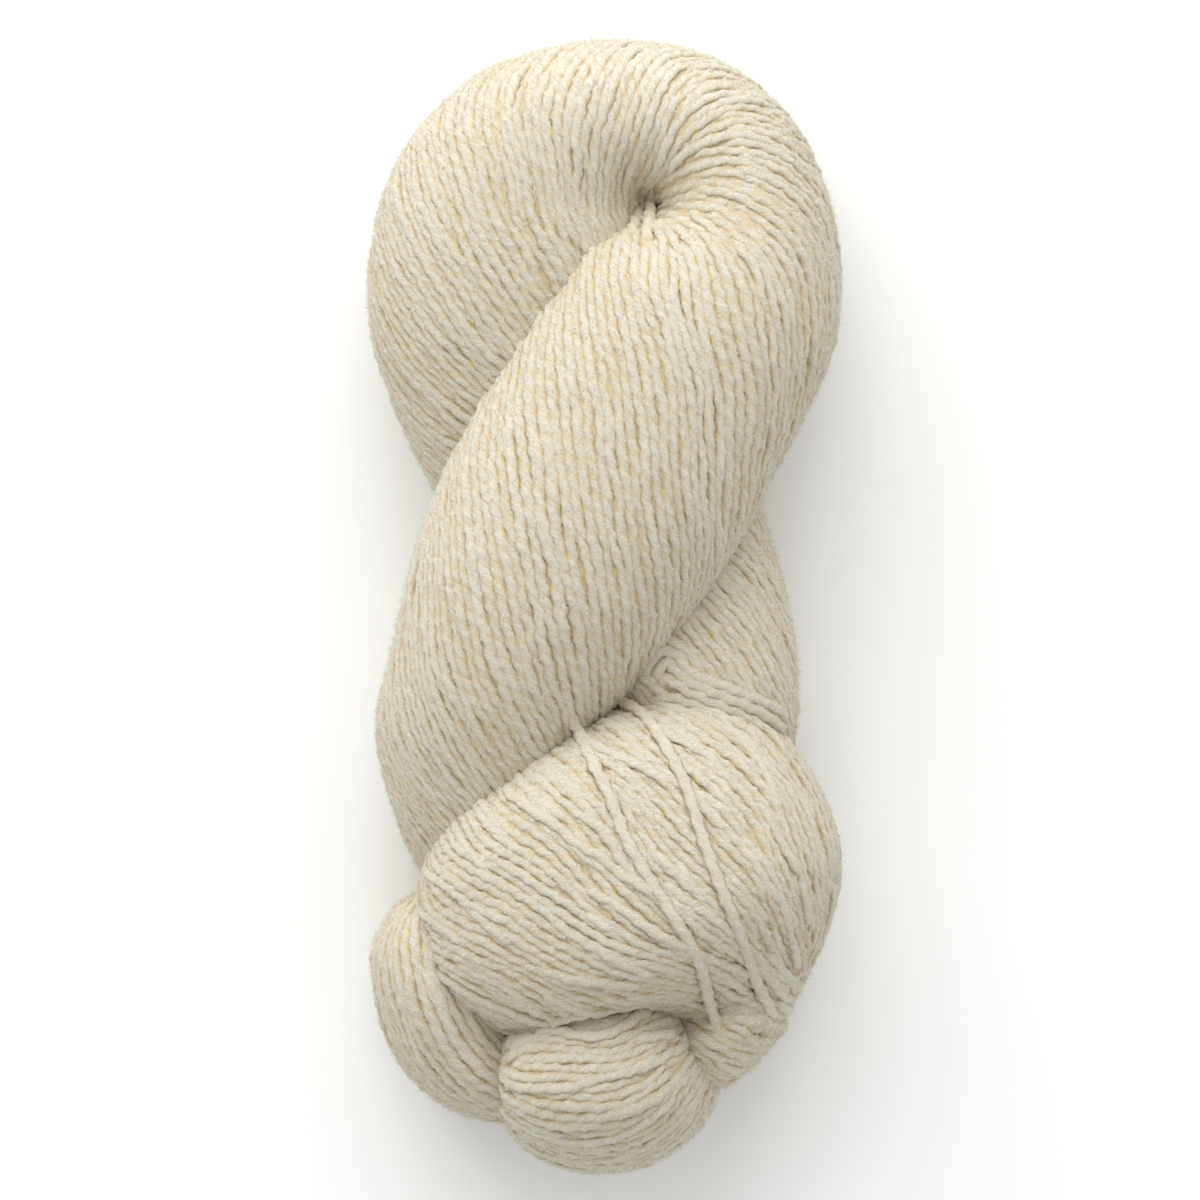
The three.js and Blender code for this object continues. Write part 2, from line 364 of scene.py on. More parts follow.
class Bundle:
    """A bundle's wound surface as a grid of points: down the grid along it, across it around its section."""

    def __init__(
        self,
        table,
        lay,
        first=0,
        last=None,
        narrow=(False, False),
        depth=STRAND_DEPTH,
        lowest=LOWEST_MIDDLE,
    ):
        self.first, self.last = first, len(table) - 1 if last is None else last
        self.rows = np.linspace(self.first, self.last, (self.last - self.first) * GRID_PER_ROW + 1)
        self.turns = np.arange(GRID_AROUND) / GRID_AROUND
        sizes = through_rows(table, self.rows)
        share = end_share(self.rows, self.first, self.last, *narrow)
        share = np.broadcast_to(share, self.rows.shape)[:, None]
        left, right = sizes[:, None, 0:2], sizes[:, None, 2:4]
        low, high = sizes[:, 4:5], sizes[:, 5:6]
        angle = self.turns * 2 * math.pi
        across = fuller(np.cos(angle))[None, :] * share / 2
        up = fuller(np.sin(angle))[None, :] * share / 2
        plan = (left + right) / 2 + (right - left) * across[..., None]
        height = (low + high) / 2 + (high - low) * up
        self.points = np.concatenate([plan, height[..., None]], axis=2)
        self.out = self.outwards()
        self.points = self.points - self.out * depth
        self.points[..., 2] = over_floor(self.points[..., 2], lowest)
        self.out = self.outwards()
        self.seen = isinstance(lay, dict)
        self.lay = np.asarray(lay["seen from above"] if self.seen else lay, float)

    def slopes(self):
        """How the point moves for one row along and for one full turn around."""
        along = np.gradient(self.points, self.rows, axis=0)
        around = (np.roll(self.points, -1, axis=1) - np.roll(self.points, 1, axis=1)) * GRID_AROUND / 2
        return along, around

    def outwards(self):
        """Unit directions away from the bundle."""
        along, around = self.slopes()
        out = unit(np.cross(around, along))
        middle = self.points.mean(axis=1, keepdims=True)
        inward = (out * (self.points - middle)).sum() < 0
        return -out if inward else out

    def set_way(self, wander):
        """Which way the strands run at each point, as rows and turns for each millimetre of yarn."""
        along, around = self.slopes()
        if self.seen:
            way = self.way_seen_from_above(wander)
        else:
            way = self.way_by_rows(along, around, wander)
        self.way = np.stack(in_rows_and_turns(way, along, around), axis=2)
        self.ready = [self.points[..., k].ravel().tolist() for k in range(3)]
        self.ready += [self.way[..., k].ravel().tolist() for k in range(2)]

    def way_seen_from_above(self, wander):
        """Strands wound so that, seen from above, they run as the directions about them say."""
        places, angles = self.lay[:, :2], np.radians(self.lay[:, 2])
        apart = self.points[..., None, :2] - places
        near = 1 / ((apart**2).sum(axis=3) + DIRECTION_REACH**2) ** DIRECTION_FADES
        plan_x = (near * np.cos(angles)).sum(axis=2)
        plan_y = (near * np.sin(angles)).sum(axis=2)
        angle = np.arctan2(plan_y, plan_x) + np.radians(wander)
        seen = np.stack([np.cos(angle), np.sin(angle), np.zeros(angle.shape)], axis=2)
        across = (seen * self.out).sum(axis=2, keepdims=True)
        rise = self.out[..., 2:]
        way = seen * rise - np.array([0, 0, 1.0]) * across
        way = way + SIDE_TURN * np.exp(-((rise / SIDE_RISE) ** 2)) * (seen - self.out * across)
        return unit(way, 1e-6)

    def way_by_rows(self, along, around, wander):
        """Strands at an angle to the way the bundle runs, row by row."""
        right, crest, left = through_rows(self.lay, self.rows).T[:, :, None]
        side = np.cos(self.turns * 2 * math.pi)[None, :]
        lay = np.where(side > 0, crest + (right - crest) * side, crest + (crest - left) * side)
        lay = np.radians(lay + wander)
        ahead = unit(along)
        aside = np.cross(self.out, ahead)
        aside *= np.sign((aside * around).sum(axis=2, keepdims=True))
        return ahead * np.cos(lay)[..., None] + aside * np.sin(lay)[..., None]

    def corners(self, row, turn):
        """The four grid places about a point of the surface and how much each counts."""
        r = (row - self.first) * GRID_PER_ROW
        i = min(max(int(r), 0), len(self.rows) - 2)
        f = r - i
        c = (turn % 1.0) * GRID_AROUND
        j = int(c) % GRID_AROUND
        g = c - int(c)
        k = (j + 1) % GRID_AROUND
        base = i * GRID_AROUND
        return (
            (base + j, (1 - f) * (1 - g)),
            (base + k, (1 - f) * g),
            (base + GRID_AROUND + j, f * (1 - g)),
            (base + GRID_AROUND + k, f * g),
        )

    def at(self, row, turn, which):
        """Some of the surface's values at one point of it."""
        corners = self.corners(row, turn)
        return [sum(self.ready[w][n] * share for n, share in corners) for w in which]

    def many(self, values, rows, turns):
        """A grid's values at many points of the surface."""
        r = (rows - self.first) * GRID_PER_ROW
        i = np.clip(r.astype(int), 0, len(self.rows) - 2)
        f = (r - i)[:, None]
        c = (turns % 1.0) * GRID_AROUND
        j = c.astype(int) % GRID_AROUND
        g = (c - c.astype(int))[:, None]
        k = (j + 1) % GRID_AROUND
        near = values[i, j] * (1 - g) + values[i, k] * g
        far = values[i + 1, j] * (1 - g) + values[i + 1, k] * g
        return near * (1 - f) + far * f

    def closed_mesh(self):
        """The surface's points and faces as one closed skin, with a point in the middle of each end."""
        rings, around = self.points.shape[:2]
        points = self.points.reshape(-1, 3)
        ends = [self.points[0].mean(axis=0), self.points[-1].mean(axis=0)]
        faces = []
        for i in range(rings - 1):
            for j in range(around):
                k = (j + 1) % around
                faces.append((i * around + j, i * around + k, (i + 1) * around + k, (i + 1) * around + j))
        start, end = rings * around, rings * around + 1
        last = (rings - 1) * around
        for j in range(around):
            k = (j + 1) % around
            faces.append((start, k, j))
            faces.append((end, last + j, last + k))
        points = np.concatenate([points, ends])
        corners = np.array([face[:3] for face in faces])
        a, b, c = (points[corners[:, k]] for k in range(3))
        if (a * np.cross(b, c)).sum() < 0:
            faces = [tuple(reversed(face)) for face in faces]
        return points, faces


def soft_waves(rows, turns, seed, reach):
    """Slow waves over a bundle's grid, about -1 to 1, that wander along the yarn and around it."""
    draw = np.random.default_rng(seed)
    rows, turns = np.meshgrid(rows, turns, indexing="ij")
    total = np.zeros(rows.shape)
    waves = 9
    for _ in range(waves):
        along = draw.uniform(0.4, 1.6) / reach
        around = draw.integers(1, 5)
        total += np.sin(2 * math.pi * (along * rows + around * turns + draw.random()))
    return total / math.sqrt(waves)


class Laid:
    """Strands laid side by side over a bundle, none closer than its share of the pitch to another."""

    def __init__(self, bundle, pitch, closest):
        self.bundle = bundle
        self.pitch = pitch
        self.closest = closest
        self.cells = {}
        self.strands = []

    def cell(self, point):
        """The cube of space that a point lies in, as wide as the pitch."""
        return tuple(int(math.floor(v / self.pitch)) for v in point)

    def room(self, point, row, gap):
        """Whether a point is at least gap away from every strand of its half of the bundle."""
        x, y, z = point
        cx, cy, cz = self.cell(point)
        for ix in (cx - 1, cx, cx + 1):
            for iy in (cy - 1, cy, cy + 1):
                for iz in (cz - 1, cz, cz + 1):
                    for px, py, pz, other in self.cells.get((ix, iy, iz), ()):
                        apart = (px - x) ** 2 + (py - y) ** 2 + (pz - z) ** 2
                        if apart < gap * gap and abs(other - row) < ROWS_APART:
                            return False
        return True

    def follow(self, row, turn, sign):
        """Places along a strand's way, until the bundle ends or another strand is too close."""
        places = []
        first, last = self.bundle.first, self.bundle.last
        while len(places) < MOST_STEPS:
            a, b = self.bundle.at(row, turn, (3, 4))
            mid_row, mid_turn = row + sign * a * STEP / 2, turn + sign * b * STEP / 2
            if not first <= mid_row <= last:
                break
            a, b = self.bundle.at(mid_row, mid_turn, (3, 4))
            row, turn = row + sign * a * STEP, turn + sign * b * STEP
            if not first <= row <= last:
                break
            point = self.bundle.at(row, turn, (0, 1, 2))
            if not self.room(point, row, self.closest * self.pitch):
                break
            places.append((row, turn, point))
        return places

    def lay_from(self, row, turn, gap, shortest):
        """Lays one strand through a point, if there is room for it."""
        point = self.bundle.at(row, turn, (0, 1, 2))
        if not self.room(point, row, gap * self.pitch):
            return
        places = self.follow(row, turn, -1)[::-1] + [(row, turn, point)] + self.follow(row, turn, 1)
        if len(places) * STEP < shortest:
            return
        for place, _, (x, y, z) in places:
            self.cells.setdefault(self.cell((x, y, z)), []).append((x, y, z, place))
        self.strands.append(np.array([(r, t) for r, t, _ in places]))

    def neighbours(self, strand):
        """Places one pitch to each side of a strand."""
        bundle = self.bundle
        picked = strand[:: max(1, int(BETWEEN_TRIES / STEP))]
        rows, turns = picked[:, 0], picked[:, 1]
        along, around = self.slopes
        way = bundle.many(bundle.way, rows, turns)
        a, b = bundle.many(along, rows, turns), bundle.many(around, rows, turns)
        out = bundle.many(bundle.out, rows, turns)
        forward = a * way[:, :1] + b * way[:, 1:]
        move_row, move_turn = in_rows_and_turns(unit(np.cross(out, forward)), a, b)
        places = []
        for sign in (1, -1):
            shift = sign * self.pitch
            places += list(zip(rows + shift * move_row, turns + shift * move_turn))
        return places

    def cover(self, seed_row, seed_turn):
        """Lays strands outwards from the first one until the bundle is covered."""
        self.slopes = self.bundle.slopes()
        first, last = self.bundle.first, self.bundle.last
        self.lay_from(seed_row, seed_turn, *LAYING_ROUNDS[0])
        done = 0
        while done < len(self.strands):
            for row, turn in self.neighbours(self.strands[done]):
                if first <= row <= last:
                    self.lay_from(float(row), float(turn), *LAYING_ROUNDS[0])
            done += 1
        for gap, shortest in LAYING_ROUNDS:
            for row in self.bundle.rows[1:-1:2]:
                for turn in self.bundle.turns[::2]:
                    self.lay_from(float(row), float(turn), gap, shortest)
        return self.strands


def smooth_step(x):
    """A soft step from 0 to 1."""
    x = np.clip(x, 0, 1)
    return x * x * (3 - 2 * x)


class Strand:
    """One strand as it lies on its bundle: its points, and the ways out, ahead and aside at each."""

    def __init__(self, bundle, places):
        self.rows, turns = places[:, 0], places[:, 1]
        self.points = bundle.many(bundle.points, self.rows, turns)
        self.out = unit(bundle.many(bundle.out, self.rows, turns))
        self.ahead = unit(np.gradient(self.points, axis=0))
        self.side = np.cross(self.out, self.ahead)
        self.room = np.full(len(self.points), STRAND_PITCH)


def smoothed(values, reach):
    """Values along a strand, each the mean of those about it."""
    if len(values) < 3:
        return values
    width = min(reach, (len(values) - 1) // 2)
    padded = np.concatenate([values[:1].repeat(width), values, values[-1:].repeat(width)])
    return np.convolve(padded, np.ones(2 * width + 1) / (2 * width + 1), "valid")


def tree_of_places(places):
    """A tree that finds the places near another one."""
    near = KDTree(len(places))
    for k, place in enumerate(places):
        near.insert(place, k)
    near.balance()
    return near


def gaps_beside(which, strand, step, near, owner, rows, reach):
    """How far off the nearest strands are to the right and to the left of one step of a strand."""
    point, side = Vector(strand.points[step]), Vector(strand.side[step])
    ahead, out = Vector(strand.ahead[step]), Vector(strand.out[step])
    right = left = reach
    for other, index, _ in near.find_range(point, reach):
        if owner[index] == which or abs(rows[index] - strand.rows[step]) > ROWS_APART:
            continue
        apart = other - point
        if abs(apart.dot(ahead)) > STEP * NEIGHBOUR_AHEAD or abs(apart.dot(out)) > NEIGHBOUR_ABOVE:
            continue
        across = apart.dot(side)
        if across > 0:
            right = min(right, across)
        else:
            left = min(left, -across)
    return right, left


def even_out(strands):
    """Moves strands sideways to the middle between their neighbours, and finds the room each has."""
    reach = NEIGHBOUR_ASIDE * STRAND_PITCH
    owner = np.concatenate([np.full(len(strand.points), k) for k, strand in enumerate(strands)])
    rows = np.concatenate([strand.rows for strand in strands])
    for done in range(EVENING_ROUNDS + 1):
        near = tree_of_places(np.concatenate([strand.points for strand in strands]))
        for k, strand in enumerate(strands):
            picks = np.arange(0, len(strand.points), EVENING_EVERY)
            moves, rooms = np.zeros(len(picks)), np.full(len(picks), STRAND_PITCH)
            for n, pick in enumerate(picks):
                right, left = gaps_beside(k, strand, pick, near, owner, rows, reach)
                if right < reach and left < reach:
                    moves[n] = (right - left) / 2
                    rooms[n] = (right + left) / 2
                elif min(right, left) < reach:
                    rooms[n] = min(right, left)
            full = np.arange(len(strand.points))
            if done < EVENING_ROUNDS:
                move = smoothed(np.interp(full, picks, moves), MOVE_SMOOTHING) * MOVE_SHARE
                move = np.clip(move, -MOST_MOVE, MOST_MOVE)
                strand.points = strand.points + strand.side * move[:, None]
            else:
                strand.room = smoothed(np.interp(full, picks, rooms), ROOM_SMOOTHING)


def slow_wave(length, draw, shortest, longest):
    """A smooth wave along a strand with a random wavelength and start."""
    return np.sin(2 * math.pi * (length / draw.uniform(shortest, longest) + draw.random()))


def drawn_strand(strand, draw, loose, lift_most=0.0):
    """The real line of one laid strand: uneven in height and place, and diving under at both ends."""
    length = np.arange(len(strand.points)) * STEP
    lift = draw.uniform(-WHOLE_LIFT, WHOLE_LIFT) * loose + lift_most
    sway = np.zeros(len(length))
    for _ in range(WAVES_OF_A_STRAND):
        lift = lift + draw.uniform(*LIFT_WAVE) * loose * slow_wave(length, draw, *LIFT_LENGTH)
        sway = sway + draw.uniform(*SWAY_WAVE) * loose * slow_wave(length, draw, *SWAY_LENGTH)
    from_end = np.minimum(length, length[-1] - length)
    dive = min(DIVE_LENGTH, DIVE_SHARE * length[-1])
    lift = lift - (DIVE_DEPTH + lift_most) * (1 - smooth_step(from_end / dive))
    line = strand.points + strand.out * lift[:, None] + strand.side * sway[:, None]
    thick = np.clip(strand.room / STRAND_PITCH, *THICKNESS_RANGE)
    differs = draw.uniform(*THICKNESS_DIFFERS)
    thick = thick * (1 + differs + THICKNESS_WAVE * slow_wave(length, draw, *THICKNESS_LENGTH))
    half_height = STRAND_WIDTH / 2 * (1 - STRAND_FLATNESS) * thick
    line[:, 2] = np.maximum(line[:, 2], half_height + LEAST_OVER_FLOOR)
    return line, strand.out, thick, lift


def tree_of(points, faces):
    """A skin as a tree that finds its nearest point or the face that a ray meets."""
    return BVHTree.FromPolygons([Vector(p) for p in points], faces)


def is_inside(tree, point):
    """Whether a point is inside a closed skin: a ray from it leaves the skin an odd number of times."""
    nearly_up = Vector((0.013, 0.007, 1.0)).normalized()
    past_the_face = 0.001
    most_crossings = 50
    crossings, start = 0, Vector(point)
    while crossings < most_crossings:
        where, _, _, _ = tree.ray_cast(start, nearly_up)
        if where is None:
            break
        crossings += 1
        start = where + nearly_up * past_the_face
    return crossings % 2 == 1


def deep_inside(tree, points, depth):
    """Which points lie deeper than this inside a closed skin, in millimetres."""
    deep = np.zeros(len(points), bool)
    for k, point in enumerate(points):
        point = Vector(point)
        where, normal, _, distance = tree.find_nearest(point)
        if distance > depth and (point - where).dot(normal) < 0:
            deep[k] = is_inside(tree, point)
    return deep


def shown_runs(hidden):
    """The stretches of a line that aren't hidden, but for the very short ones."""
    runs, start = [], None
    for k, flag in enumerate(~hidden):
        if flag and start is None:
            start = k
        if not flag and start is not None:
            runs.append((start, k))
            start = None
    if start is not None:
        runs.append((start, len(hidden)))
    return [(a, b) for a, b in runs if (b - a) * STEP > SHORTEST_RUN]


# Node trees


def new_tree(name, kind, inputs, outputs):
    """An empty node tree with named inputs and outputs: the tree, its inputs and its output node."""
    tree = bpy.data.node_groups.new(name, kind)
    for label, socket_type, value in inputs:
        socket = tree.interface.new_socket(name=label, in_out="INPUT", socket_type=socket_type)
        if value is not None:
            socket.default_value = value
    for label, socket_type in outputs:
        tree.interface.new_socket(name=label, in_out="OUTPUT", socket_type=socket_type)
    return tree, tree.nodes.new("NodeGroupInput").outputs, tree.nodes.new("NodeGroupOutput")


def put(tree, kind, sockets=None, **settings):
    """Adds a node, with its settings, and values or links for its input sockets by name or number."""
    node = tree.nodes.new(kind)
    for key, value in settings.items():
        setattr(node, key, value)
    for key, value in (sockets or {}).items():
        socket = node.inputs[key]
        if isinstance(value, bpy.types.NodeSocket):
            tree.links.new(value, socket)
        else:
            socket.default_value = value
    return node


def number(tree, operation, *values):
    """A Math node's result."""
    return put(tree, "ShaderNodeMath", dict(enumerate(values)), operation=operation).outputs[0]


def product(tree, first, *others):
    """Numbers multiplied together."""
    for value in others:
        first = number(tree, "MULTIPLY", first, value)
    return first


def about_zero(tree, value, share):
    """A value between 0 and 1 moved to lie about zero, and multiplied by a share."""
    return product(tree, number(tree, "SUBTRACT", value, 0.5), share)


def vector(tree, operation, *values, out=0):
    """A Vector Math node's result."""
    return put(tree, "ShaderNodeVectorMath", dict(enumerate(values)), operation=operation).outputs[out]


def scaled(tree, value, share):
    """A vector made longer or shorter."""
    return put(tree, "ShaderNodeVectorMath", {0: value, "Scale": share}, operation="SCALE").outputs[0]


def noise(tree, place, scale, detail, roughness=0.5, out="Fac"):
    """A Noise Texture's value at a place."""
    sockets = {"Vector": place, "Scale": scale, "Detail": detail, "Roughness": roughness}
    return put(tree, "ShaderNodeTexNoise", sockets).outputs[out]


def here(tree):
    """Where each point of the geometry is."""
    return put(tree, "GeometryNodeInputPosition").outputs[0]


def attribute(tree, name, data_type="FLOAT"):
    """A named attribute of the geometry."""
    return put(tree, "GeometryNodeInputNamedAttribute", {"Name": name}, data_type=data_type).outputs[0]


def store(tree, geometry, name, value, data_type="FLOAT"):
    """The geometry with a value kept at each point under a name."""
    sockets = {"Geometry": geometry, "Name": name, "Value": value}
    kind = "GeometryNodeStoreNamedAttribute"
    return put(tree, kind, sockets, data_type=data_type, domain="POINT").outputs[0]


def changed(tree, kind, geometry, sockets=None):
    """The geometry after one node has changed it."""
    return put(tree, kind, {"Geometry": geometry, **(sockets or {})}).outputs[0]


def twisted_lines(tree, given):
    """The strands' lines as curves, tilted as the plies turn, which remember where their middles are."""
    lines = put(tree, "GeometryNodeMeshToCurve", {0: given["Lines"]}).outputs[0]
    turns = number(tree, "DIVIDE", attribute(tree, "along"), given["Ply turn"])
    tilt = product(tree, number(tree, "ADD", turns, attribute(tree, "strand")), -2 * math.pi)
    lines = put(tree, "GeometryNodeSetCurveTilt", {"Curve": lines, "Tilt": tilt}).outputs[0]
    return store(tree, lines, "middle", here(tree), "FLOAT_VECTOR")


def two_ply_section(tree, given):
    """A ring drawn in at two sides, where the two plies meet."""
    corners = {"Resolution": SECTION_CORNERS, "Radius": 1.0}
    ring = put(tree, "GeometryNodeCurvePrimitiveCircle", corners).outputs[0]
    ring = store(tree, ring, "section", here(tree), "FLOAT_VECTOR")
    section = attribute(tree, "section", "FLOAT_VECTOR")
    across = put(tree, "ShaderNodeSeparateXYZ", {0: section}).outputs[1]
    dip = product(tree, across, across, given["Ply bulge"])
    section = scaled(tree, section, number(tree, "SUBTRACT", 1.0, dip))
    return changed(tree, "GeometryNodeSetPosition", ring, {"Position": section})


def flattened(tree, yarn, radius, flatness):
    """Yarn pressed flatter against its bundle, which keeps how far out and how high each point lies."""
    outward = attribute(tree, "out", "FLOAT_VECTOR")
    from_middle = vector(tree, "SUBTRACT", here(tree), attribute(tree, "middle", "FLOAT_VECTOR"))
    above = vector(tree, "DOT_PRODUCT", from_middle, outward, out="Value")
    yarn = store(tree, yarn, "upper", number(tree, "DIVIDE", above, radius))
    upper = attribute(tree, "upper")
    down = scaled(tree, outward, product(tree, upper, radius, flatness, -1.0))
    yarn = changed(tree, "GeometryNodeSetPosition", yarn, {"Offset": down})
    # The height that the painted shade of the hollows follows: how high on its strand a point lies, raised
    # on strands that are lifted.
    within = number(tree, "DIVIDE", upper, attribute(tree, "thick"))
    lifted = product(tree, attribute(tree, "lift"), SHADE_FOR_LIFT / MM)
    return store(tree, yarn, "height", number(tree, "ADD", within, lifted))


def spun_yarn_tree():
    """Sweeps a two-ply section along every line, flattens it a little and makes its surface uneven."""
    tree, given, result = new_tree(
        "spun yarn",
        "GeometryNodeTree",
        [
            ("Lines", "NodeSocketGeometry", None),
            ("Strand width", "NodeSocketFloat", STRAND_WIDTH * MM),
            ("Flatness", "NodeSocketFloat", STRAND_FLATNESS),
            ("Ply turn", "NodeSocketFloat", PLY_TURN * MM),
            ("Ply bulge", "NodeSocketFloat", PLY_BULGE),
            ("Unevenness", "NodeSocketFloat", UNEVENNESS * MM),
            ("Wool", "NodeSocketMaterial", None),
        ],
        [("Yarn", "NodeSocketGeometry")],
    )
    radius = number(tree, "DIVIDE", given["Strand width"], 2.0)
    sweep = {
        "Curve": twisted_lines(tree, given),
        "Profile Curve": two_ply_section(tree, given),
        "Scale": product(tree, attribute(tree, "thick"), radius),
        "Fill Caps": True,
    }
    yarn = put(tree, "GeometryNodeCurveToMesh", sweep).outputs[0]
    yarn = flattened(tree, yarn, radius, given["Flatness"])
    rough = noise(tree, here(tree), UNEVENNESS_SCALE, detail=2.0, out="Color")
    uneven = scaled(tree, vector(tree, "SUBTRACT", rough, (0.5, 0.5, 0.5)), given["Unevenness"])
    yarn = changed(tree, "GeometryNodeSetPosition", yarn, {"Offset": uneven})
    for name in ("middle", "thick", "lift"):
        yarn = changed(tree, "GeometryNodeRemoveAttribute", yarn, {"Name": name})
    yarn = changed(tree, "GeometryNodeSetShadeSmooth", yarn, {"Shade Smooth": True})
    yarn = changed(tree, "GeometryNodeRealizeInstances", yarn)
    yarn = changed(tree, "GeometryNodeSetMaterial", yarn, {"Material": given["Wool"]})
    tree.links.new(yarn, result.inputs[0])
    return tree


def is_more(tree, value, least):
    """Whether a value is more than another."""
    return put(tree, "FunctionNodeCompare", {0: value, 1: least}, operation="GREATER_THAN").outputs[0]


def fibre_points(tree, given):
    """Points scattered over the upper side of the yarn, and the way each of their fibres stands."""
    height = put(tree, "ShaderNodeSeparateXYZ", {0: here(tree)}).outputs[2]
    upper = is_more(tree, attribute(tree, "upper"), FUZZ_FROM)
    clear = is_more(tree, height, FUZZ_OVER_FLOOR * MM)
    where = put(tree, "FunctionNodeBooleanMath", {0: upper, 1: clear}, operation="AND").outputs[0]
    spread = {
        "Mesh": given["Yarn"],
        "Selection": where,
        "Density": given["Fibres to a square metre"],
        "Seed": given["Seed"],
    }
    scatter = put(tree, "GeometryNodeDistributePointsOnFaces", spread).outputs
    span = {0: (-FUZZ_LEAN,) * 3, 1: (FUZZ_LEAN,) * 3}
    lean = put(tree, "FunctionNodeRandomValue", span, data_type="FLOAT_VECTOR").outputs[0]
    way = vector(tree, "ADD", scatter["Normal"], lean)
    turned = put(tree, "FunctionNodeAlignRotationToVector", {"Vector": way}, axis="Z").outputs[0]
    return scatter["Points"], turned


def wool_fuzz_tree():
    """Scatters short pointed fibres over the upper side of the yarn."""
    tree, given, result = new_tree(
        "wool fuzz",
        "GeometryNodeTree",
        [
            ("Yarn", "NodeSocketGeometry", None),
            ("Fibres to a square metre", "NodeSocketFloat", FUZZ_DENSITY),
            ("Shortest fibre", "NodeSocketFloat", FUZZ_SHORTEST * MM),
            ("Longest fibre", "NodeSocketFloat", FUZZ_LONGEST * MM),
            ("Fibre width", "NodeSocketFloat", FUZZ_WIDTH * MM),
            ("Seed", "NodeSocketInt", 0),
            ("Wool", "NodeSocketMaterial", None),
        ],
        [("Fuzz", "NodeSocketGeometry")],
    )
    points, turned = fibre_points(tree, given)
    span = {2: given["Shortest fibre"], 3: given["Longest fibre"], "Seed": 3}
    length = put(tree, "FunctionNodeRandomValue", span, data_type="FLOAT").outputs[1]
    half = number(tree, "DIVIDE", given["Fibre width"], 2.0)
    size = put(tree, "ShaderNodeCombineXYZ", {0: half, 1: half, 2: length}).outputs[0]
    shape = {"Vertices": 3, "Side Segments": 1, "Radius Top": 0.0, "Radius Bottom": 1.0, "Depth": 1.0}
    spike = put(tree, "GeometryNodeMeshCone", shape, fill_type="NGON").outputs[0]
    placed = {"Points": points, "Instance": spike, "Rotation": turned, "Scale": size}
    fuzz = put(tree, "GeometryNodeInstanceOnPoints", placed).outputs[0]
    fuzz = changed(tree, "GeometryNodeRealizeInstances", fuzz)
    fuzz = changed(tree, "GeometryNodeSetShadeSmooth", fuzz, {"Shade Smooth": False})
    fuzz = changed(tree, "GeometryNodeSetMaterial", fuzz, {"Material": given["Wool"]})
    tree.links.new(fuzz, result.inputs[0])
    return tree


def add_object(name, data):
    """An object in the scene, unturned and at the origin."""
    added = bpy.data.objects.new(name, data)
    bpy.context.scene.collection.objects.link(added)
    return added


def set_inputs(modifier, **values):
    """Sets a Geometry Nodes modifier's inputs by name, through their identifiers."""
    wanted = {label.replace("_", " ").lower(): value for label, value in values.items()}
    for item in modifier.node_group.interface.items_tree:
        if item.in_out == "INPUT" and item.name.lower() in wanted:
            modifier[item.identifier] = wanted[item.name.lower()]


def grown(name, mesh, tree, **values):
    """A plain mesh object made from a mesh by a Geometry Nodes tree with these input values."""
    carrier = add_object(name + "_base", mesh)
    modifier = carrier.modifiers.new("grow", "NODES")
    modifier.node_group = tree
    set_inputs(modifier, **values)
    seen = carrier.evaluated_get(bpy.context.evaluated_depsgraph_get())
    plain = bpy.data.meshes.new_from_object(seen)
    plain.name = name
    bpy.data.objects.remove(carrier)
    return add_object(name, plain)


def strands_piece(name, lines, tree, wool):
    """One mesh of real yarn along many lines: their points, ways out, thickness, lift and strand number."""
    points, edges, out = [], [], []
    values = {"along": [], "strand": [], "thick": [], "lift": []}
    for line, away, width, raised, share in lines:
        start = len(points)
        points += list(line * MM)
        edges += [(start + k, start + k + 1) for k in range(len(line) - 1)]
        out += list(away)
        steps = np.linalg.norm(np.diff(line, axis=0), axis=1)
        length = np.concatenate([[0], np.cumsum(steps)]) * MM
        values["along"] += list(length * (LEAST_TWIST + TWIST_RANGE * share))
        values["strand"] += [share] * len(line)
        values["thick"] += list(width)
        values["lift"] += list(raised * MM)
    mesh = bpy.data.meshes.new(name + "_lines")
    mesh.from_pydata([tuple(p) for p in points], edges, [])
    for label, numbers in values.items():
        kept = mesh.attributes.new(label, "FLOAT", "POINT")
        kept.data.foreach_set("value", np.asarray(numbers, np.float32))
    kept = mesh.attributes.new("out", "FLOAT_VECTOR", "POINT")
    kept.data.foreach_set("vector", np.asarray(out, np.float32).ravel())
    return grown(name, mesh, tree, strand_width=STRAND_WIDTH * MM, ply_turn=PLY_TURN * MM, wool=wool)


# Materials

# Each wool's light colour where it stands out, and the warm colour that it is mixed towards: painted shade
# in the hollows, and at random in patches and from strand to strand.
TOP_COLOURS = {"Light wool": (0.634, 0.604, 0.503, 1), "Shade and patch wool": (0.60, 0.495, 0.31, 1)}
# The wool under the strands shows only in the gaps between them, so its colours are painted darker and
# warmer, as the shade there.
UNDER_COLOURS = {"Light wool": (0.60, 0.518, 0.365, 1), "Shade and patch wool": (0.56, 0.475, 0.315, 1)}
FUZZ_COLOURS = {"Light wool": (0.66, 0.63, 0.53, 1), "Shade and patch wool": (0.60, 0.55, 0.43, 1)}
# How far the colour differs from patch to patch and from strand to strand.
PATCHES_DIFFER = 0.2
STRANDS_DIFFER = 0.15
# Heights on a strand, as shares of its own, at which the painted shade of the hollows is full and at which
# it is gone.
SHADE_FULL_BELOW, SHADE_GONE_ABOVE = 0.3, 0.8
# The groove between the plies is painted with this much of the hollows' shade, over this width.
GROOVE_SHADE, GROOVE_WIDTH = 0.22, 0.7
# How fast the pattern of fibres changes along a strand, and from one strand to another.
FIBRES_ALONG, FIBRES_BY_STRAND = 140.0, 30.0
# Relief of the nap on a strand and of the ridges in the wool under the strands, in metres.
NAP_DEPTH = 0.0004
RIDGE_DEPTH = 0.0006


